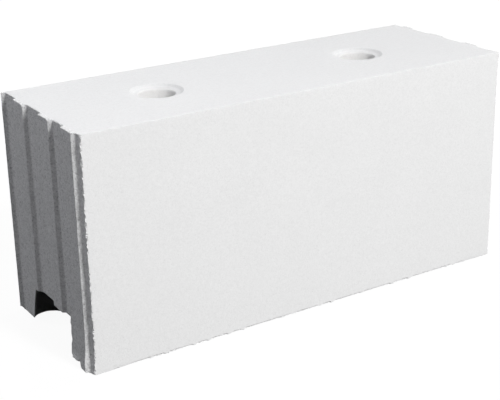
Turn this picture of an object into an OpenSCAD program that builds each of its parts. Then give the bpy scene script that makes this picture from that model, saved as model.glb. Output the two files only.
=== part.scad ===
// Large calcium silicate building block with tongue and groove ends,
// two round grip holes in its top face and a grip pocket at the foot of each end.
// Length runs along X, thickness along Y, height along Z.
// The origin is at the middle of the underside.

/* [Block] */
// Length between the flat grounds of the two ends
block_l = 498; // [300:1:1000]
// Thickness, which is the thickness of the wall it makes
block_t = 175; // [140:1:365]
// Height of one course
block_h = 238; // [180:1:500]

/* [Tongues and grooves] */
// How far a tongue stands proud of the end's flat ground
tongue_proud = 4; // [2:0.5:10]
// Width of a tongue across its flat top
tongue_top_w = 20; // [12:0.5:25]
// Width taken by each sloping flank
flank_run = 3.5; // [1:0.25:4.5]
// Front face to the middle of the left end's first tongue
tongue_a = 20; // [14:0.5:24]
// Middle plane to the middle of the left end's second tongue, towards the front
tongue_b = 16.5; // [4:0.5:20]
// Rear face to the middle of the left end's third tongue
tongue_c = 44.5; // [42:0.5:57]
// Play on each side of a tongue in the tightest groove of the next block
mate_gap = 2; // [0.5:0.25:4]

/* [Grip holes] */
// End's flat ground to the axis of the grip hole nearest to it
hole_inset = 124.5; // [75:0.5:140]
// Diameter of the grip hole below its mouth
bore_d = 36.5; // [25:0.5:44]
// Depth of the grip hole from the top face
bore_depth = 120; // [30:1:170]
// Diameter of the dished mouth at the top face
mouth_d = 54; // [45:0.5:70]
// Depth of the dished mouth, down to the bore
mouth_depth = 3.5; // [2:0.5:15]
// Width of the nearly flat lip round the bore
lip_w = 3.5; // [1:0.5:4]
// Drop across that lip
lip_drop = 0.7; // [0.2:0.1:1.5]

/* [Grip pockets] */
// Height of the pocket's ceiling above the underside
pocket_h = 42; // [25:1:55]
// Depth of the pocket, from the end's flat ground
pocket_d = 32.5; // [20:0.5:45]
// Radius of the pocket's round sides, seen from below
pocket_r = 18.5; // [15:0.5:19]
// Middle plane to the axis of the pocket's upright round side, towards the front
pocket_front = 23.5; // [15:0.5:45]
// Distance between the axes of the two round sides at the ceiling
pocket_span = 57.5; // [40:0.5:63]
// Angle at which the rear round side opens outwards towards the foot
pocket_lean = 17.3; // [0:0.1:18]

/* [Hidden] */

$fn = 96;
over = 1; // how far a cutting tool runs past the face it cuts
half_l = block_l / 2;
half_t = block_t / 2;

// The left end has three tongues, and its rear arris stands as proud as they do:
// a flank rises to it, as if a fourth tongue began there.
left_tongues = [tongue_a, half_t - tongue_b, block_t - tongue_c];
tongue_foot_w = tongue_top_w + 2 * flank_run;
arris_tongue = block_t + tongue_top_w / 2;
left_row = concat(left_tongues, [arris_tongue]);
grooves = [0 : len(left_row) - 2];
groove_ws = [for (i = grooves) left_row[i + 1] - left_row[i] - tongue_foot_w];

// The right end's tongues stand opposite the middles of those grooves,
// and are narrow enough for the tightest of them, so that two blocks mate.
right_tongues = [for (i = grooves) (left_row[i] + left_row[i + 1]) / 2];
right_top_w = min(groove_ws) - 2 * mate_gap;

// Four corners of one tongue as [distance from the front face, height].
function tongue_corners(middle, top_w) = [
    [middle - top_w / 2 - flank_run, 0],
    [middle - top_w / 2, tongue_proud],
    [middle + top_w / 2, tongue_proud],
    [middle + top_w / 2 + flank_run, 0],
];

// Outline of each end, from the front face to the rear face.
left_profile = [
    [0, 0],
    for (middle = left_tongues) each tongue_corners(middle, tongue_top_w),
    [block_t - flank_run, 0],
    [block_t, tongue_proud],
];
right_profile = [
    [0, 0],
    for (middle = right_tongues) each tongue_corners(middle, right_top_w),
    [block_t, 0],
];

// Outline of the whole block, seen from above.
block_outline = concat(
    [for (p = right_profile) [half_l + p[1], p[0] - half_t]],
    [for (i = [len(left_profile) - 1:-1:0])
        [-half_l - left_profile[i][1], left_profile[i][0] - half_t]]
);

// One grip hole, cut from the top face with its axis at the origin.
module grip_hole() {
    dish_depth = mouth_depth - lip_drop;
    lip_d = bore_d + 2 * lip_w;
    dish_slope = (mouth_d - lip_d) / dish_depth;
    translate([0, 0, -bore_depth])
        cylinder(h = bore_depth + over, d = bore_d);
    translate([0, 0, -mouth_depth])
        cylinder(h = lip_drop, d1 = bore_d, d2 = lip_d);
    translate([0, 0, -dish_depth])
        cylinder(
            h = dish_depth + over,
            d1 = lip_d,
            d2 = mouth_d + dish_slope * over
        );
}

// One grip pocket, for the end whose ground is at X = 0 with the block beyond it.
// Y = 0 is the block's middle plane and Z = 0 its underside.
module grip_pocket() {
    axis_in = pocket_d - pocket_r;
    rear_top = pocket_span - pocket_front;
    rear_foot = rear_top + pocket_h * tan(pocket_lean);
    foot_over = over * tan(pocket_lean);
    mouth_out = tongue_proud + over;
    side_h = 2 * pocket_h;
    intersection() {
        translate([-mouth_out, -block_t, -over])
            cube([mouth_out + pocket_d + over, 2 * block_t, pocket_h + over]);
        union() {
            translate([axis_in, -pocket_front, -over])
                cylinder(h = side_h, r = pocket_r);
            translate([axis_in, rear_foot, 0])
                rotate([pocket_lean, 0, 0])
                    translate([0, 0, -pocket_h])
                        cylinder(h = 2 * side_h, r = pocket_r);
            translate([-mouth_out, 0, 0])
                rotate([90, 0, 90])
                    linear_extrude(height = mouth_out + pocket_d)
                        polygon([
                            [-pocket_front, -over],
                            [rear_foot + foot_over, -over],
                            [rear_top, pocket_h],
                            [-pocket_front, pocket_h],
                        ]);
        }
    }
}

// Pressed in one piece, so it is one solid.
module block() {
    color([0.86, 0.86, 0.85])
        difference() {
            linear_extrude(height = block_h)
                polygon(block_outline);
            for (side = [-1, 1])
                translate([side * (half_l - hole_inset), 0, block_h])
                    grip_hole();
            for (end = [0, 1])
                mirror([end, 0, 0])
                    translate([-half_l, 0, 0])
                        grip_pocket();
        }
}

block();
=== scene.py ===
import math
import random
import bmesh
import bpy
from mathutils import Euler, Matrix, Vector, noise


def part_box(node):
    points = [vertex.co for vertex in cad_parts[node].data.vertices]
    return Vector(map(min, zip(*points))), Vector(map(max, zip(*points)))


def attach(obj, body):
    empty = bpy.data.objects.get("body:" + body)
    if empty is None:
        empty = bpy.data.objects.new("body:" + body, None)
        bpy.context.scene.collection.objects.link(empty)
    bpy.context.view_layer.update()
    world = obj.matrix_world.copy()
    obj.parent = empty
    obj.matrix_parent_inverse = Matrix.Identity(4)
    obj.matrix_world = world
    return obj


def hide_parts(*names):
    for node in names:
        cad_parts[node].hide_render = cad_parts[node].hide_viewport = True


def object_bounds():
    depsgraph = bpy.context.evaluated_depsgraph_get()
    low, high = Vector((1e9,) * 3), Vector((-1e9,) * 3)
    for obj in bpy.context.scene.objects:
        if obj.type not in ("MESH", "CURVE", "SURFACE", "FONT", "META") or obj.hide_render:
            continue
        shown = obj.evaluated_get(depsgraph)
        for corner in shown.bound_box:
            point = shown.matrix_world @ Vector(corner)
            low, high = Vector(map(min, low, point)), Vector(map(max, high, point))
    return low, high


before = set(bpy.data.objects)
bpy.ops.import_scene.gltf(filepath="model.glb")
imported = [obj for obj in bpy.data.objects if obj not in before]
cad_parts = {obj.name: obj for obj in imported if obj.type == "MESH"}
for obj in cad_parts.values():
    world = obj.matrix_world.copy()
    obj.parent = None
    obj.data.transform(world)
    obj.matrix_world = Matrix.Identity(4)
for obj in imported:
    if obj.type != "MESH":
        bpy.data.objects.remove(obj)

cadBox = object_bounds()
low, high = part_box("block")
scene = bpy.context.scene

print("stage: camera")
cameraSet = {
    "place": (-0.6552, -1.0057, 0.5520),
    "turn": (70.005, 1.242, -32.321),          # degrees about X, Y and Z
    "lens": 85.63,
    "sensor": 36,
    "shift": (0.0200, -0.0349),
}
cameraData = bpy.data.cameras.new("camera")
cameraData.lens = cameraSet["lens"]
cameraData.sensor_width = cameraSet["sensor"]
cameraData.shift_x, cameraData.shift_y = cameraSet["shift"]
camera = bpy.data.objects.new("camera", cameraData)
scene.collection.objects.link(camera)
scene.camera = camera
turn = Euler([math.radians(angle) for angle in cameraSet["turn"]])
camera.matrix_world = Matrix.Translation(cameraSet["place"]) @ turn.to_matrix().to_4x4()


# Shader maths: a socket that adds Math nodes as it is used in an expression.
class Wire:
    def __init__(self, nodes, socket):
        self.nodes, self.socket = nodes, socket

    def beside(self, name):  # another output of the same node
        return Wire(self.nodes, self.socket.node.outputs[name])

    def __add__(self, other):
        return self.nodes.maths("ADD", self, other)

    def __sub__(self, other):
        return self.nodes.maths("SUBTRACT", self, other)

    def __rsub__(self, other):
        return self.nodes.maths("SUBTRACT", other, self)

    def __mul__(self, other):
        return self.nodes.maths("MULTIPLY", self, other)

    __radd__ = __add__
    __rmul__ = __mul__


class Nodes:
    def __init__(self, owner):
        owner.use_nodes = True
        self.tree = owner.node_tree
        self.tree.nodes.clear()

    def add(self, kind, settings=None, sockets=None, out=0):
        node = self.tree.nodes.new(kind)
        for name, value in (settings or {}).items():
            setattr(node, name, value)
        for name, value in (sockets or {}).items():
            if isinstance(value, Wire):
                self.tree.links.new(value.socket, node.inputs[name])
            else:
                node.inputs[name].default_value = value
        return Wire(self, node.outputs[out]) if node.outputs else None

    def maths(self, operation, first, second=0):
        return self.add("ShaderNodeMath", {"operation": operation}, {0: first, 1: second})

    def fade(self, value, none, full):  # 0 at none, 1 at full, smooth in between
        return self.add("ShaderNodeMapRange", {"interpolation_type": "SMOOTHSTEP"},
                        {"Value": value, "From Min": none, "From Max": full})

    def window(self, value, start, full, last, end):
        return self.fade(value, start, full) * self.fade(value, end, last)


print("stage: block")
blockSet = {
    "proud": 0.004,                            # how far a tongue stands out
    "tongueTop": 0.020,
    "flankRun": 0.0035,
    "leftTongues": (0.020, 0.071, 0.1305),     # middles, from the front face
    "arrisRound": (0.00022, 2),                # width, steps
    "arrisAngle": 0.6,                         # a rounded arris is sharper than this
    "flankHollow": (0.0011, 3),                # hollow rounding along the feet of the flanks
    "hollowAngle": 0.4,
    # broken corners of the tongues' tops: end, number of the tongue from the front, size
    "softCorners": ((-1, 0, 0.0012), (-1, 1, 0.0024), (-1, 2, 0.0052), (1, 0, 0.0030), (1, 1, 0.0044)),
    "softSteps": 3,
    "roundSteps": 96,
    "holeInset": 0.1245,                       # end's ground to the hole's axis
    "holeDepth": 0.120,
    # the mouth's dish, its nearly flat lip and the bore's rounded rim: radius, height over the top face
    "mouth": ((0.0284, 0.0006), (0.0272, 0.0000), (0.0262, -0.0006), (0.0250, -0.0013),
              (0.0238, -0.0019), (0.0226, -0.0024), (0.0214, -0.00265), (0.0202, -0.0028),
              (0.0190, -0.0031), (0.0183, -0.0040), (0.0182, -0.0052)),
    "pocketTop": 0.042,
    "pocketDepth": 0.0325,
    "pocketRadius": 0.0185,
    "pocketFront": 0.0235,                     # middle plane to the upright side's axis
    "pocketSpan": 0.0575,                      # between the sides' axes at the ceiling
    "pocketLean": math.radians(17.3),
    "pocketUnder": 0.005,                      # how far its cutter runs past the foot
}
tiny = 1e-5
proud = blockSet["proud"]
crown, flankRun = blockSet["tongueTop"] / 2, blockSet["flankRun"]
ground = high.x - proud
front, rear, top = low.y, high.y, high.z
thickness = round(rear - front, 6)

# The rear arris of the left end stands as proud as if a fourth tongue began there,
# and the right end's tongues stand opposite the middles of the left end's grooves.
leftRow = (*blockSet["leftTongues"], thickness + crown)
rightRow = [(one + other) / 2 for one, other in zip(leftRow, leftRow[1:])]
tongueRows = {-1: blockSet["leftTongues"], 1: rightRow}


def objectFrom(bm, name):
    bmesh.ops.recalc_face_normals(bm, faces=bm.faces[:])
    mesh = bpy.data.meshes.new(name)
    bm.to_mesh(mesh)
    bm.free()
    piece = bpy.data.objects.new(name, mesh)
    scene.collection.objects.link(piece)
    return piece


def bevel(bm, edges, width, segments):
    bmesh.ops.bevel(bm, geom=edges, offset=width, offset_type="OFFSET", segments=segments,
                    profile=0.5, affect="EDGES", clamp_overlap=True, material=-1)


def sharpEdges(bm, convex, angle):
    bm.normal_update()
    return [e for e in bm.edges if e.is_manifold and e.is_convex == convex and e.calc_face_angle() > angle]


def endFaces(bm, side):
    bm.normal_update()
    return [f for f in bm.faces if f.normal.x * side > 0.99]


def splitEnd(bm, side, y):
    faces = endFaces(bm, side)
    around = [part for f in faces for part in (*f.edges, *f.verts)]
    bmesh.ops.bisect_plane(bm, geom=faces + list(dict.fromkeys(around)), plane_co=(0, y, 0),
                           plane_no=(0, 1, 0))


def movedVerts(made):
    return [part for part in made["geom"] if isinstance(part, bmesh.types.BMVert)]


def raiseTongue(bm, side, middle):
    foot = crown + flankRun
    splitEnd(bm, side, middle - foot)
    splitEnd(bm, side, middle + foot)
    strip = [f for f in endFaces(bm, side) if abs(f.calc_center_median().y - middle) < 0.001]
    verts = movedVerts(bmesh.ops.extrude_face_region(bm, geom=strip))
    bmesh.ops.delete(bm, geom=strip, context="FACES_ONLY")
    bmesh.ops.translate(bm, verts=verts, vec=(side * proud, 0, 0))
    bmesh.ops.scale(bm, verts=verts, vec=(1, crown / foot, 1), space=Matrix.Translation((0, -middle, 0)))


def softenCorner(bm, side, number, size):
    y = front + tongueRows[side][number] - crown - flankRun / 2
    place = Vector((side * (ground + proud / 2), y, top))
    edge = min(bm.edges, key=lambda e: ((e.verts[0].co + e.verts[1].co) / 2 - place).length)
    bevel(bm, [edge], size, blockSet["softSteps"])


def rounded(place):
    return tuple(round(value, 5) for value in place)


def linesOf(edges):  # the two ends of each edge, and which way is outwards
    lines = []
    for e in edges:
        outward = sum((f.normal for f in e.link_faces), Vector()).normalized()
        start, end = sorted((v.co.copy() for v in e.verts), key=rounded)
        lines.append((start, end, outward))
    return sorted(lines, key=lambda line: rounded(line[0]) + rounded(line[1]))


def makeBody():
    bm = bmesh.new()
    size = Matrix.Diagonal((2 * ground, rear - front, top, 1))
    bmesh.ops.create_cube(bm, size=1, matrix=Matrix.Translation((0, 0, top / 2)) @ size)
    for side, row in tongueRows.items():
        for middle in row:
            raiseTongue(bm, side, front + middle)
    splitEnd(bm, -1, rear - flankRun)
    arris = [v for v in bm.verts if v.co.x < -ground + tiny and v.co.y > rear - tiny]
    bmesh.ops.translate(bm, verts=arris, vec=(-proud, 0, 0))
    bmesh.ops.dissolve_limit(bm, angle_limit=0.01, verts=bm.verts[:], edges=bm.edges[:])
    for corner in blockSet["softCorners"]:
        softenCorner(bm, *corner)
    bevel(bm, sharpEdges(bm, False, blockSet["hollowAngle"]), *blockSet["flankHollow"])
    arrises = sharpEdges(bm, True, blockSet["arrisAngle"])
    lines = linesOf(arrises)
    bevel(bm, arrises, *blockSet["arrisRound"])
    return objectFrom(bm, "calciumSilicateBlock"), lines


def makeHole(side):
    bm = bmesh.new()
    mouth, depth = blockSet["mouth"], blockSet["holeDepth"]
    outline = [(0, mouth[0][1]), *mouth, (mouth[-1][0], -depth), (0, -depth)]
    verts = [bm.verts.new((radius, 0, z)) for radius, z in outline]
    edges = [bm.edges.new(pair) for pair in zip(verts, verts[1:])]
    bmesh.ops.spin(bm, geom=verts + edges, cent=(0, 0, 0), axis=(0, 0, 1), angle=math.tau,
                   steps=blockSet["roundSteps"], use_merge=True)
    bmesh.ops.remove_doubles(bm, verts=bm.verts[:], dist=1e-6)
    place = (side * (ground - blockSet["holeInset"]), 0, top)
    bmesh.ops.translate(bm, verts=bm.verts[:], vec=place)
    return objectFrom(bm, "holeCutter")


def makePocket(side):
    bm = bmesh.new()
    radius, rise, under = (blockSet[name] for name in ("pocketRadius", "pocketTop", "pocketUnder"))
    lean = blockSet["pocketLean"]
    inside = blockSet["pocketDepth"] - radius
    bmesh.ops.create_circle(bm, cap_ends=True, segments=blockSet["roundSteps"], radius=radius)
    for v in bm.verts:  # the rear half is the slanting side's wider section
        if v.co.y > 1e-6:
            v.co.y = v.co.y / math.cos(lean) + blockSet["pocketSpan"]
    place = (side * (ground - inside), -blockSet["pocketFront"], rise)
    bmesh.ops.translate(bm, verts=bm.verts[:], vec=place)
    foot = movedVerts(bmesh.ops.extrude_face_region(bm, geom=bm.faces[:]))
    bmesh.ops.translate(bm, verts=foot, vec=(0, 0, -rise - under))
    slanting = [v for v in foot if v.co.y > 0]
    bmesh.ops.translate(bm, verts=slanting, vec=(0, (rise + under) * math.tan(lean), 0))
    return objectFrom(bm, "pocketCutter")


def cut(piece, cutter, overlapping=False):
    made = piece.modifiers.new("cut", "BOOLEAN")
    made.operation, made.solver, made.object = "DIFFERENCE", "EXACT", cutter
    made.use_self = overlapping
    mesh = bpy.data.meshes.new_from_object(piece.evaluated_get(bpy.context.evaluated_depsgraph_get()))
    piece.modifiers.clear()
    piece.data = mesh
    bpy.data.objects.remove(cutter)


block, arrisLines = makeBody()
for side in (-1, 1):
    cut(block, makeHole(side))
    cut(block, makePocket(side))
print("after cuts", len(block.data.vertices), len(block.data.polygons))

chipSet = {
    "seed": 11,
    # lost grains along the arrises: spacing, smallest and largest radius
    "grains": {"leftFront": (0.0060, 0.0006, 0.0014), "foot": (0.0050, 0.0006, 0.0017),
               "endTop": (0.0034, 0.0010, 0.0023), "other": (0.0140, 0.0003, 0.0007)},
    "favourSmall": 1.6,                        # the higher, the more of them are small
    "standOut": (0.3, 0.85),                   # least and most, as a share of the radius
    "stretch": (1, 2.2),                       # along the arris
    "apart": (0.5, 1.5),                       # as a share of the spacing
    # steps of the sphere; how uneven it is, as a share of its size and how often a metre
    "grainLump": (1, 0.45, 900),
    "chipLump": (3, 0.2, 420),
    # broken places in mm: middle as X, distance from the front face, height; then half sizes
    "chips": (
        ((-254.0, 28.8, -0.5), (4.6, 5.4, 5.2)),
        ((-253.0, 175.0, -0.8), (4.6, 5.0, 4.4)),
        ((-253.6, 139.5, -0.8), (3.6, 5.0, 7.0)),
        ((-228.0, -0.4, -0.4), (4.5, 1.4, 1.8)),
        ((-196.0, -0.5, 238.5), (3.0, 1.1, 1.2)),
        ((-62.0, -0.5, 238.5), (2.2, 1.1, 1.1)),
        ((118.0, -0.6, 238.5), (4.0, 1.2, 1.2)),
        ((206.0, -0.5, -0.5), (6.0, 1.5, 1.9)),
        ((228.0, -0.6, -0.5), (3.0, 1.5, 1.6)),
        ((249.8, -0.4, 150.0), (1.4, 1.3, 4.0)),
        ((249.5, 168.0, 239.2), (4.0, 8.0, 2.4)),
        ((150.0, 175.6, 238.6), (7.0, 1.6, 1.6)),
        ((-90.0, 175.6, -0.4), (9.0, 1.9, 2.2)),
        ((254.0, 45.0, -0.6), (3.2, 6.0, 4.0)),
        ((254.6, 167.5, 243.0), (5.0, 12.0, 14.0)),
    ),
}


def kindOfArris(start, end, along):
    if start.x < -ground + tiny and max(start.y, end.y) < front + tiny and abs(along.z) > 0.9:
        return "leftFront"
    if max(start.z, end.z) < tiny and max(start.x, end.x) > -ground + tiny:
        return "foot"
    if min(start.z, end.z) > top - tiny and max(start.x, end.x) < -ground + tiny:
        return "endTop"
    return "other"


def grainPlaces(lines):
    chance = random.Random(chipSet["seed"])
    for start, end, outward in lines:
        along = (end - start).normalized()
        spacing, small, large = chipSet["grains"][kindOfArris(start, end, along)]
        at = chance.uniform(0, spacing)
        while at < (end - start).length:
            radius = small + (large - small) * chance.random() ** chipSet["favourSmall"]
            centre = start + along * at + outward * radius * chance.uniform(*chipSet["standOut"])
            turned = Matrix.Translation(centre) @ along.to_track_quat("Z", "Y").to_matrix().to_4x4()
            size = Matrix.Diagonal((radius, radius, radius * chance.uniform(*chipSet["stretch"]), 1))
            yield centre, turned @ size
            at += spacing * chance.uniform(*chipSet["apart"])


def addLump(bm, centre, place, offset, steps, size, often):
    made = bmesh.ops.create_icosphere(bm, subdivisions=steps, radius=1, matrix=place)
    for v in made["verts"]:
        v.co = centre + (v.co - centre) * (1 + size * noise.noise(v.co * often + offset))


def makeChips():
    bm = bmesh.new()
    for centre, place in grainPlaces(arrisLines):
        addLump(bm, centre, place, Vector(), *chipSet["grainLump"])
    for number, (middle, halves) in enumerate(chipSet["chips"]):
        x, s, z = (value / 1000 for value in middle)
        centre = Vector((x, front + s, z))
        place = Matrix.Translation(centre) @ Matrix.Diagonal((*(half / 1000 for half in halves), 1))
        addLump(bm, centre, place, Vector((number, 0, 0)), *chipSet["chipLump"])
    return objectFrom(bm, "chipCutter")


cut(block, makeChips(), overlapping=True)
print("after chips", len(block.data.vertices), len(block.data.polygons))

meshSet = {
    "gridStep": 0.008,
    "nearRow": 0.0022,                         # first row of points beside an arris
    "rimRows": (0.0497, 0.0545),               # beside the pocket's rim, from the front face
    "footRow": 0.005,
    "arrisAngle": 0.15,                        # an edge of a worn arris is sharper than this
    "arrisStep": 0.0018,                       # longest edge along an arris
    "fineStep": 0.0009,                        # and along the front left arris
    "fineWidth": 0.0015,
    "halvings": 4,                             # how many times a longer one may be halved
    "smoothAngle": math.radians(15),
}


def rows(start, end, step):
    count = max(1, round((end - start) / step))
    return [start + (end - start) * i / count for i in range(1, count)]


def longest(edge):
    width = meshSet["fineWidth"]
    fine = all(v.co.x < -ground + width and v.co.y < front + width for v in edge.verts)
    return meshSet["fineStep" if fine else "arrisStep"]


def addRows(bm):
    near = meshSet["nearRow"]
    spans = ((-ground, ground), (front, rear), (0, top))
    rimRows = [front + s for s in meshSet["rimRows"]]
    extra = ((), rimRows, (meshSet["footRow"], blockSet["pocketTop"] + near))
    for axis, (start, end) in enumerate(spans):
        normal = Vector((axis == 0, axis == 1, axis == 2))
        for at in (start + near, *rows(start, end, meshSet["gridStep"]), end - near, *extra[axis]):
            whole = bm.verts[:] + bm.edges[:] + bm.faces[:]
            bmesh.ops.bisect_plane(bm, geom=whole, dist=1e-6, plane_co=normal * at, plane_no=normal)
    for _ in range(meshSet["halvings"]):
        edges = sharpEdges(bm, True, meshSet["arrisAngle"])
        tooLong = [e for e in edges if e.calc_length() > longest(e)]
        if tooLong:
            bmesh.ops.subdivide_edges(bm, edges=tooLong, cuts=1, use_grid_fill=True)
    many = [f for f in bm.faces if len(f.verts) > 4]
    bmesh.ops.triangulate(bm, faces=many, quad_method="BEAUTY", ngon_method="BEAUTY")


def fade(value, none, full):  # 0 at none, 1 at full
    return min(1, max(0, (value - none) / (full - none)))


def window(value, start, full, last, end):  # 1 from full to last, fading to 0 at start and end
    return fade(value, start, full) * fade(value, end, last)


# Wear and pressing burrs. In what follows s is a point's distance from the front face,
# and the tuples of four are windows along an axis: start, full, last, end.
wearSet = {
    "all": 0.00025,                            # how far an arris is rubbed back
    "ends": 0.00022,                           # and on the ends, from this far inside their ground
    "endWidth": 0.002,
    "uneven": (0.55, (0.72, 330), (0.48, 900)),  # evenly, then unevenly: share, how often a metre
    "foot": 0.0011,                            # more along the middle of the front arris at the foot
    "footAlong": (-0.230, -0.200, 0.200, 0.232),
    "footWidth": 0.002,
    "nick": (0.0016, 140, 0.42),               # sparse nicks: depth, how often a metre, how rare
    "nickPlace": Vector((9, 4, 2)),
    "evenings": 4,                             # how many times the moves are evened
}


def wornBy(place):
    amount = wearSet["ends" if abs(place.x) > ground - wearSet["endWidth"] else "all"]
    evenly, *unevenly = wearSet["uneven"]
    amount *= max(0, evenly + sum(share * noise.noise(place * often) for share, often in unevenly))
    if place.z < wearSet["footWidth"] and place.y < front + wearSet["footWidth"]:
        amount += wearSet["foot"] * window(place.x, *wearSet["footAlong"])
    depth, often, rare = wearSet["nick"]
    return amount + depth * max(0, noise.noise(place * often + wearSet["nickPlace"]) - rare)


def evened(moves):  # each move becomes the mean of its own and its neighbours'
    made = {}
    for v, move in moves.items():
        near = [moves[other] for other in (e.other_vert(v) for e in v.link_edges) if other in moves]
        made[v] = sum(near, move) / (1 + len(near))
    return made


def rubArrises(bm):
    edges = sharpEdges(bm, True, meshSet["arrisAngle"])
    moves = {v: v.normal * -wornBy(v.co) for e in edges for v in e.verts}
    for _ in range(wearSet["evenings"]):
        moves = evened(moves)
    for v, move in moves.items():
        v.co += move


cornerBurrSet = {
    "across": (ground - 0.004, ground, ground + 0.0005, ground + 0.003),
    # distance of the corner from the front face, reach along the arris, drop below the top, size
    "corners": ((0.0, 0.015, 0.034, 0.0016), (0.175, 0.010, 0.022, 0.0028)),
    "full": 0.2,                               # share of the reach over which it is full
    "hollow": 1.5,                             # the higher, the more it is drawn to the corner
}


def cornerBurr(v, s):  # the right end's two upper corners stand out
    across = window(v.co.x, *cornerBurrSet["across"])
    for corner, reach, drop, size in cornerBurrSet["corners"]:
        share = fade(abs(s - corner), reach, cornerBurrSet["full"] * reach) * fade(v.co.z, top - drop, top)
        v.co.x += size * across * share ** cornerBurrSet["hollow"]


footBurrSet = {
    "rise": 0.006,
    "reach": 0.0036,
    "along": (0.0345, 0.046, 0.052),           # where it starts, begins to fade and ends
    "uneven": (0.85, 0.3, 160),                # evenly, unevenly, how often a metre
    "skin": 0.0015,
}


def footBurr(v, s):  # a thin burr fills the first groove at the left end's foot
    rise = footBurrSet["rise"]
    start, last, end = footBurrSet["along"]
    if v.co.x < -ground + footBurrSet["skin"] and v.co.z < rise and start <= s <= end:
        evenly, unevenly, often = footBurrSet["uneven"]
        lift = (1 - v.co.z / rise) ** 2 * fade(s, end, last)
        lift *= evenly + unevenly * noise.noise(v.co * often)
        v.co.x = min(v.co.x, -ground - footBurrSet["reach"] * lift)


groundSet = {
    "skin": 0.0015,
    "rise": 0.026,                             # its foot runs outwards below this height
    "reach": (0.0011, 0.0012, 0.006),          # at the arris, how much more behind it, from this s on
    "hollow": 1.5,
    "flankFoot": 0.0004,                       # how far out it lies where the first flank starts
    "flankFootAlong": (0, 0.0046, 0.0066, 0.0100),
}


def flareGround(v, s):  # the left end's ground between the front arris and the first tongue
    if v.co.x < -ground + groundSet["skin"] and s < groundSet["flankFootAlong"][-1]:
        reach, more, full = groundSet["reach"]
        flare = fade(v.co.z, groundSet["rise"], 0) ** groundSet["hollow"]
        v.co.x -= (reach + more * fade(s, 0, full)) * flare
        v.co.x -= groundSet["flankFoot"] * window(s, *groundSet["flankFootAlong"])


arrisSet = {
    "width": 0.0046,
    "across": (-ground + 0.0060, -ground + 0.0004),
    "lean": 0.0004,                            # how much further in the arris lies than the ground
    "leanAbove": (0.0006, 0.170, 0.200),       # more higher up: how much, fading in from, full at
    "leanCorner": (0.0006, 0.007),             # and more at the top corner: how much, over this height
    "teeth": (0.0020, 900, 0.0022),            # size, how often a metre, width
    "teethPlace": (0.3, 0.7),                  # where in the noise they are taken
}


def toothArris(v, s):  # the front left arris leans inwards and wanders in small teeth
    if v.co.x < arrisSet["across"][0] and s < arrisSet["width"]:
        more, start, full = arrisSet["leanAbove"]
        corner, height = arrisSet["leanCorner"]
        lean = arrisSet["lean"] + more * fade(v.co.z, start, full)
        lean += corner * fade(v.co.z, top - height, top)
        size, often, width = arrisSet["teeth"]
        place = Vector((*arrisSet["teethPlace"], v.co.z * often))
        tooth = size * noise.noise(place) * fade(s, width, 0)
        v.co.x += (lean * fade(s, arrisSet["width"], 0) + tooth) * fade(v.co.x, *arrisSet["across"])


tongueSet = {
    "flankBack": 0.0009,                       # how far the first tongue's front flank lies back
    "flankAlong": (0.0030, 0.0055, 0.0110, 0.0150),
    "flankAcross": (-ground + 0.004, -ground + 0.001),
    "skin": 0.0003,
    "footFlare": 0.0022,                       # how far the first tongue's foot runs outwards
    "flareRise": 0.055,
    "flareAlong": (0.0060, 0.0100, 0.0200, 0.0280),
    # top ends of the tongues' rear flanks: foot of the flank, how far it spreads
    "spreads": ((0.0335, 0.0022), (0.0845, 0.0014), (0.144, 0.0026)),
    "spreadWidth": (0.0045, 0.0010),           # before and behind the flank's foot
    "spreadDrop": (0.012, 0.002),              # below the top: none, full
}


def shapeTongues(v, s):  # the first tongue's front flank and foot, and the tops of the rear flanks
    share = window(s, *tongueSet["flankAlong"]) * fade(v.co.x, *tongueSet["flankAcross"])
    v.co.y += tongueSet["flankBack"] * share
    if v.co.x < -ground + tongueSet["skin"]:
        flare = fade(v.co.z, tongueSet["flareRise"], 0) ** 2 * window(s, *tongueSet["flareAlong"])
        v.co.x -= tongueSet["footFlare"] * flare * fade(-ground - v.co.x, 0, proud)
        before, behind = tongueSet["spreadWidth"]
        none, full = (top - drop for drop in tongueSet["spreadDrop"])
        for foot, spread in tongueSet["spreads"]:
            if foot - before < s < foot + behind:
                v.co.y += spread * fade(v.co.z, none, full)


rimSet = {
    "place": 0.052,                            # from the front face
    "width": 0.0035,
    "across": (-ground + 0.004, -ground),
    "wave": ((0.0, 0.0032), (0.010, 0.0020), (0.0163, -0.0010), (0.021, 0.0003), (0.025, 0.0004),
             (0.030, -0.0019), (0.034, 0.0009), (0.039, -0.0009), (0.044, 0.0)),  # height, shift
}


def waveRim(v, s):  # the pocket's upright rim wanders
    if abs(s - rimSet["place"]) < rimSet["width"]:
        weight = fade(v.co.x, *rimSet["across"]) * fade(abs(s - rimSet["place"]), rimSet["width"], 0)
        for (z0, shift0), (z1, shift1) in zip(rimSet["wave"], rimSet["wave"][1:]):
            if z0 <= v.co.z < z1:
                v.co.y += weight * (shift0 + (shift1 - shift0) * fade(v.co.z, z0, z1))


def wear(bm):
    rubArrises(bm)
    least = (low.x - tongueSet["footFlare"], low.y, low.z)
    for v in bm.verts:
        s = v.co.y - front
        for change in (cornerBurr, footBurr, flareGround, toothArris, shapeTongues, waveRim):
            change(v, s)
        v.co = [min(most, max(bottom, value)) for value, bottom, most in zip(v.co, least, high)]


bm = bmesh.new()
bm.from_mesh(block.data)
addRows(bm)
wear(bm)
bm.normal_update()
bm.to_mesh(block.data)
bm.free()
block.data.shade_smooth()
block.data.set_sharp_from_angle(angle=meshSet["smoothAngle"])
print("triangles", sum(len(p.vertices) - 2 for p in block.data.polygons))

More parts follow.
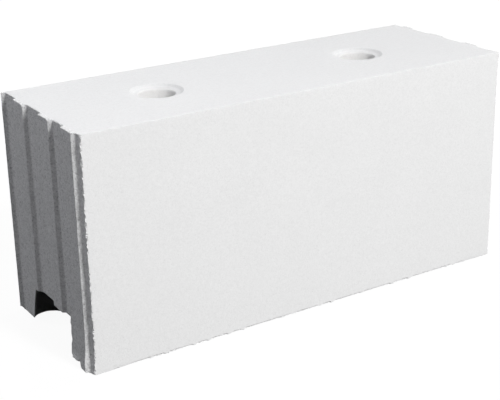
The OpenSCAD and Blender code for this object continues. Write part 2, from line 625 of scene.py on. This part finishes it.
print("stage: material")
stoneSet = {
    "base": (0.84, 0.84, 0.84, 1),
    "roughness": 0.92,
    "diffuseRoughness": 0.5,
    "specular": 0.2,
    "end": (ground - 0.0007, ground - 0.0001),  # the ends' rougher skin: none, full
    "cloud": (14, 4, 0.035),                   # scale, detail, tone
    "mottle": (260, 3, (0.055, 0.26)),         # the tone is given on the faces and on the ends
    "sand": (1100, 2),
    "grain": (800, (0.045, 0.26)),             # lighter and darker grains
    "speck": (900, (0.03, 0.24), 0.05),        # dark grains, and what share of the grains they are
    "relief": {"sand": 0.5, "mottle": 0.8, "grain": 0.25, "speck": 0.3},
    "reliefDepth": 0.0006,
    "reliefStrength": 0.3,
    "endRelief": 2.0,                          # how much more relief the ends have
    "dish": (0.0232, 0.0246, 0.0266, 0.0276),  # radii of the holes' dish, darkened with painted shade
    "dishPaintedShade": 0.08,
    "bore": (0.0200, 0.0186),                  # radii: none, full
    "borePaintedLight": 0.07,                          # how much lighter the bore is painted: painted light
    "boreWarmth": (0.0064, 0.016),             # less green, less blue
    "pocketPaintedShade": 0.5,                         # how much darker the grip pockets are painted inside: painted shade
    "pocketIn": (0.036, 0.034, 0.004, 0.0),    # depths from the end's ground
    "pocketFoot": (0.0003, 0.0010),
    "pocketCeiling": (0.0010, 0.0002),
    "pocketSides": (0.006, 0.008),             # distances from the front and rear faces: none, full
}


def makeStone():
    material = bpy.data.materials.new("calciumSilicate")
    nodes = Nodes(material)
    place = nodes.add("ShaderNodeTexCoord", out="Object")
    place = nodes.add("ShaderNodeMapping", {}, {"Vector": place})
    signedX = nodes.add("ShaderNodeSeparateXYZ", {}, {"Vector": place})
    x = nodes.maths("ABSOLUTE", signedX)
    y, z = signedX.beside("Y"), signedX.beside("Z")

    def clouds(scale, detail):
        return nodes.add("ShaderNodeTexNoise", {}, {"Vector": place, "Scale": scale, "Detail": detail})

    def cells(scale):
        tile = nodes.add("ShaderNodeTexVoronoi", {}, {"Vector": place, "Scale": scale}, out="Color")
        return nodes.add("ShaderNodeSeparateColor", {}, {"Color": tile})

    end = nodes.fade(x, *stoneSet["end"])

    def tone(onFace, onEnd):
        return onFace + end * (onEnd - onFace)

    along = x - (ground - blockSet["holeInset"])
    radius = nodes.maths("SQRT", along * along + y * y)
    # a ring of painted shade in the holes' dish
    dish = nodes.window(radius, *stoneSet["dish"])
    # painted light in the bores, which are also tinted slightly warmer
    bore = nodes.fade(radius, *stoneSet["bore"])

    ceiling = (blockSet["pocketTop"] + over for over in stoneSet["pocketCeiling"])
    sides = ((rear - inside) ** 2 for inside in stoneSet["pocketSides"])
    # painted shade inside the grip pockets, fading out at their rims
    pocket = nodes.window(x, *(ground - depth for depth in stoneSet["pocketIn"]))
    pocket = pocket * nodes.fade(z, *ceiling) * nodes.fade(z, *stoneSet["pocketFoot"])
    pocket = pocket * nodes.fade(y * y, *sides)

    cloudScale, cloudDetail, cloudTone = stoneSet["cloud"]
    mottleScale, mottleDetail, mottleTone = stoneSet["mottle"]
    grainScale, grainTone = stoneSet["grain"]
    speckScale, speckTone, speckShare = stoneSet["speck"]
    cloud = clouds(cloudScale, cloudDetail)
    mottle = clouds(mottleScale, mottleDetail)
    sand = clouds(*stoneSet["sand"])
    grain = cells(grainScale)
    speck = nodes.maths("LESS_THAN", cells(speckScale), speckShare)

    shade = 1 + (cloud - 0.5) * cloudTone + (mottle - 0.5) * tone(*mottleTone)
    shade = shade + (grain - 0.5) * tone(*grainTone) - speck * tone(*speckTone)
    # the dish is darkened with painted shade and the bore lightened with painted light
    shade = shade - dish * stoneSet["dishPaintedShade"] + bore * stoneSet["borePaintedLight"]
    # the grip pockets darkened with painted shade
    shade = shade * (1 - pocket * stoneSet["pocketPaintedShade"])
    lessGreen, lessBlue = stoneSet["boreWarmth"]
    grey = nodes.add("ShaderNodeCombineColor", {}, {
        "Red": shade,
        "Green": shade - bore * lessGreen,
        "Blue": shade - bore * lessBlue,
    })
    colour = nodes.add("ShaderNodeMix", {"data_type": "RGBA", "blend_type": "MULTIPLY"},
                       {"Factor": 1.0, 6: stoneSet["base"], 7: grey}, out=2)  # 6, 7 and 2 are its colours

    relief = stoneSet["relief"]
    height = sand * relief["sand"] + mottle * relief["mottle"] + grain * relief["grain"]
    height = (height - speck * relief["speck"]) * (1 + end * stoneSet["endRelief"])
    bump = nodes.add("ShaderNodeBump", {}, {
        "Strength": stoneSet["reliefStrength"],
        "Distance": stoneSet["reliefDepth"],
        "Height": height,
    })
    surface = nodes.add("ShaderNodeBsdfPrincipled", {}, {
        "Base Color": colour,
        "Roughness": stoneSet["roughness"],
        "Normal": bump,
        "Specular IOR Level": stoneSet["specular"],
        "Diffuse Roughness": stoneSet["diffuseRoughness"],
    })
    nodes.add("ShaderNodeOutputMaterial", {}, {"Surface": surface})
    return material


block.data.materials.clear()
block.data.materials.append(makeStone())
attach(block, "root")
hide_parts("block")

print("stage: light and floor")
neutral, cool = (1, 1, 1), (0.945, 0.955, 1)
lightSet = {
    # azimuth from the front towards +X, elevation, distance, size, power, tint
    "key": (5.2, 39.5, 3.0, 0.35, 32, neutral),
    "fill": (10, 41, 3.0, 0.5, 27.4, neutral),
    "left": (-4, 20, 3.0, 0.3, 7.8, neutral),
    "low": (12, 6, 3.0, 0.3, 27.2, neutral),
    "sideBack": (-120, 45, 2.0, 0.5, 6.4, cool),
    "side": (-78, 45, 1.7, 0.5, 3.9, cool),
    "rightBack": (120, 45, 2.0, 0.5, 5.4, neutral),
    "rear": (165, 5, 2.2, 0.3, 26, neutral),
    "right": (100, 3, 2.2, 0.3, 16, neutral),
}
target = (cadBox[0] + cadBox[1]) / 2
for name, (azimuth, elevation, far, size, power, tint) in lightSet.items():
    data = bpy.data.lights.new(name, "AREA")
    data.shape, data.size, data.energy, data.color = "DISK", size, power, tint
    lamp = bpy.data.objects.new(name, data)
    scene.collection.objects.link(lamp)
    around, up = math.radians(azimuth), math.radians(elevation)
    away = Vector((math.sin(around) * math.cos(up), -math.cos(around) * math.cos(up), math.sin(up)))
    lamp.location = target + away * far
    lamp.rotation_mode = "QUATERNION"
    lamp.rotation_quaternion = away.to_track_quat("Z", "Y")

stageSet = {
    "worldLight": 0.004,                       # what the background adds to the lamps' light
    "floorHalf": 6,
    "floorColour": (0.9, 0.9, 0.9, 1),
    "bounceColour": (0.02, 0.02, 0.02, 1),     # what the floor throws back on the block
    "glow": 1.03,
    "glowShare": (0.91, 1.0),                  # beside the block and further off
    "glowFrom": (0.3, 0.9),                    # at these distances
}
white = (1, 1, 1, 1)


def seenRays(nodes):  # 1 for what the camera sees, straight, in gloss or through glass
    path = nodes.add("ShaderNodeLightPath", out="Is Camera Ray")
    return path + path.beside("Is Glossy Ray") + path.beside("Is Transmission Ray")


world = bpy.data.worlds.new("studio")
scene.world = world
nodes = Nodes(world)
dim = nodes.add("ShaderNodeBackground", {}, {"Color": white, "Strength": stageSet["worldLight"]})
shown = nodes.add("ShaderNodeBackground", {}, {"Color": white, "Strength": 1.0})
mixed = nodes.add("ShaderNodeMixShader", {}, {0: seenRays(nodes), 1: dim, 2: shown})
nodes.add("ShaderNodeOutputWorld", {}, {"Surface": mixed})

bm = bmesh.new()
bmesh.ops.create_grid(bm, x_segments=1, y_segments=1, size=stageSet["floorHalf"])
floor = objectFrom(bm, "floor")
floorMaterial = bpy.data.materials.new("paleFloor")
nodes = Nodes(floorMaterial)
matt = nodes.add("ShaderNodeBsdfDiffuse", {}, {"Color": stageSet["floorColour"]})
bounce = nodes.add("ShaderNodeBsdfDiffuse", {}, {"Color": stageSet["bounceColour"]})
glow = nodes.add("ShaderNodeEmission", {}, {"Color": white, "Strength": stageSet["glow"]})
spot = nodes.add("ShaderNodeTexCoord", out="Object")
distance = nodes.add("ShaderNodeVectorMath", {"operation": "LENGTH"}, {0: spot}, out="Value")
leastGlow, mostGlow = stageSet["glowShare"]
share = leastGlow + nodes.fade(distance, *stageSet["glowFrom"]) * (mostGlow - leastGlow)
seen = nodes.add("ShaderNodeMixShader", {}, {0: share, 1: matt, 2: glow})
surface = nodes.add("ShaderNodeMixShader", {}, {0: seenRays(nodes), 1: bounce, 2: seen})
nodes.add("ShaderNodeOutputMaterial", {}, {"Surface": surface})
floor.data.materials.append(floorMaterial)

scene.view_settings.view_transform = "Standard"
